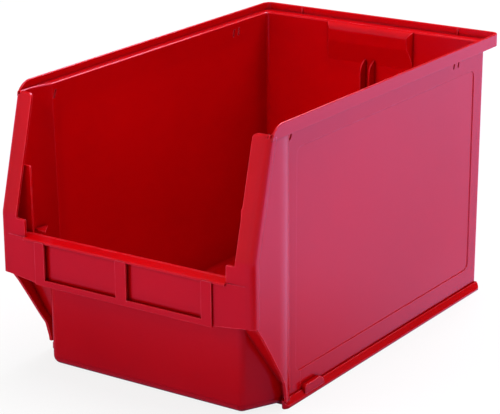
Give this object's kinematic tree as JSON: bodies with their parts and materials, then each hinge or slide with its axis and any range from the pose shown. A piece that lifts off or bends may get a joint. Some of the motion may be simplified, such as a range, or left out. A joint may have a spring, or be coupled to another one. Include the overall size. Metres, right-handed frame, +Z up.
{
  "type": "stackable storage bin",
  "caption": "Stackable hopper-front storage bin, one polypropylene moulding with a raised stacking rim, cut-away open front, card pocket and anti-slide base rails.",
  "frame": {"origin": "centre of the overall footprint, at the level the bin stands on", "axes": "+Z up, +Y towards the back wall, -Y out of the open hopper front, +X to the right-hand side when facing the back wall"},
  "size_m": [0.3144, 0.5016, 0.3016],
  "materials": {
    "bin_red": "satin as-moulded polypropylene, red through the wall"
  },
  "bodies": {
    "root": {"floor_panel": "bin_red", "left_side_wall": "bin_red", "right_side_wall": "bin_red", "back_wall": "bin_red", "rear_finger_recess": "bin_red", "nose_wall": "bin_red", "sloped_front_web": "bin_red", "left_opening_flange": "bin_red", "right_opening_flange": "bin_red", "front_lip": "bin_red", "front_apron": "bin_red", "card_holder": "bin_red", "left_front_wing": "bin_red", "right_front_wing": "bin_red", "left_stacking_rim": "bin_red", "right_stacking_rim": "bin_red", "rear_stacking_rim": "bin_red", "left_base_rail": "bin_red", "right_base_rail": "bin_red", "anti_slide_lugs": "bin_red", "divider_guide_ribs": "bin_red", "window_guide_ribs": "bin_red"}
  },
  "joints": []
}
